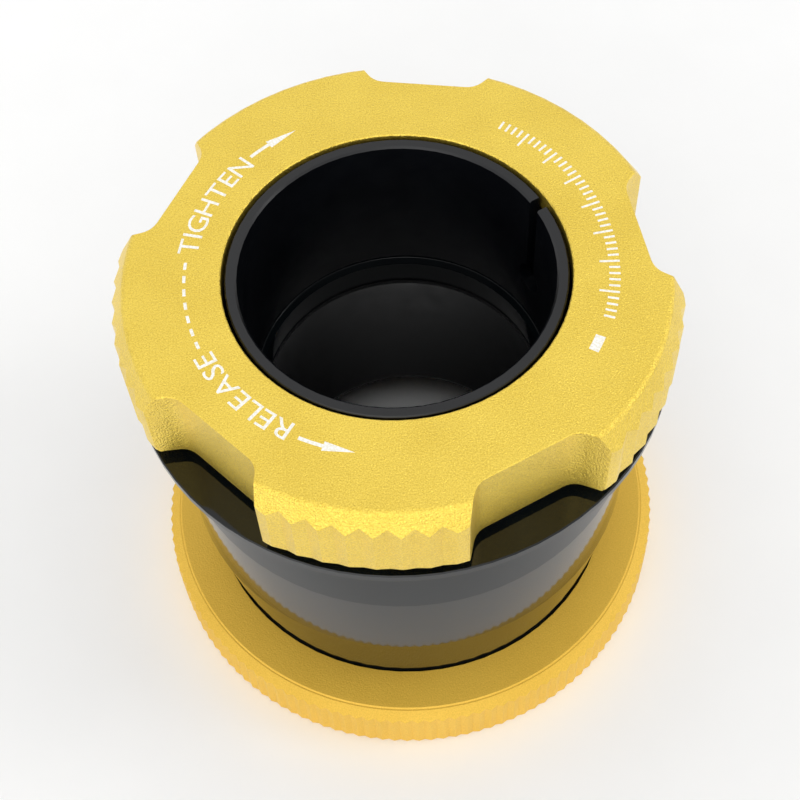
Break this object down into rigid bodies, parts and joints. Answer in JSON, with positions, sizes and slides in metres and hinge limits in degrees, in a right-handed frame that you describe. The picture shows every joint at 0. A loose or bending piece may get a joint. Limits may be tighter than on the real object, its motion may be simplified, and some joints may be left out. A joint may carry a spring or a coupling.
{
  "type": "twist-lock eyepiece holder",
  "caption": "Straight telescope eyepiece holder with a knurled twist-lock collet on top and a captive threaded coupling ring at its foot.",
  "frame": {"origin": "centre of the underside of the coupling ring, on the optical axis", "axes": "+Z along the optical axis towards the eyepiece, +X to the right of the front view, +Y to the back, where the headless screws are"},
  "size_m": [0.06, 0.0598, 0.0532],
  "materials": {
    "gold_anodised_upper": "bead-blasted gold anodised",
    "gold_anodised_lower": "fine-turned gold anodised",
    "gloss_black_anodised": "glossy black",
    "satin_black_anodised": "satin black anodised",
    "matt_black_baffle": "matt black",
    "brass": "turned",
    "stainless_steel": "plain",
    "black_nylon": "matt"
  },
  "bodies": {
    "barrel": {"barrel_body": "gloss_black_anodised", "neck_sleeve": "satin_black_anodised", "collet_sleeve": "satin_black_anodised", "baffle_tube": "matt_black_baffle", "seat_flange": "satin_black_anodised", "snap_ring": "stainless_steel", "lock_ring_washer": "black_nylon", "neck_dust_washer": "black_nylon", "coupling_washer": "black_nylon", "collet_locating_screw": "stainless_steel", "neck_lock_screw_1": "stainless_steel", "neck_lock_screw_2": "stainless_steel"},
    "lock": {"lock_ring": "gold_anodised_upper"},
    "clamp": {"clamp_ring": "brass", "drive_pin_1": "stainless_steel", "drive_pin_2": "stainless_steel", "drive_pin_3": "stainless_steel"},
    "coupling": {"coupling_ring": "gold_anodised_lower"}
  },
  "joints": [
    {"name": "lock_twist", "type": "hinge", "parent": "barrel", "child": "lock", "pos_m": [0, 0, 0.0483], "axis": [0, 0, 1], "range_deg": [-60, 0]},
    {"name": "clamp_slide", "type": "slide", "parent": "barrel", "child": "clamp", "axis": [0, 0, 1], "range_m": [-0.0012, 0]},
    {"name": "coupling_spin", "type": "hinge", "parent": "barrel", "child": "coupling", "pos_m": [0, 0, 0.0036], "axis": [0, 0, 1], "continuous": true}
  ],
  "couplings": [
    {"joint": "clamp_slide", "follows": "lock_twist", "m_per_rad": 0.0011459}
  ]
}
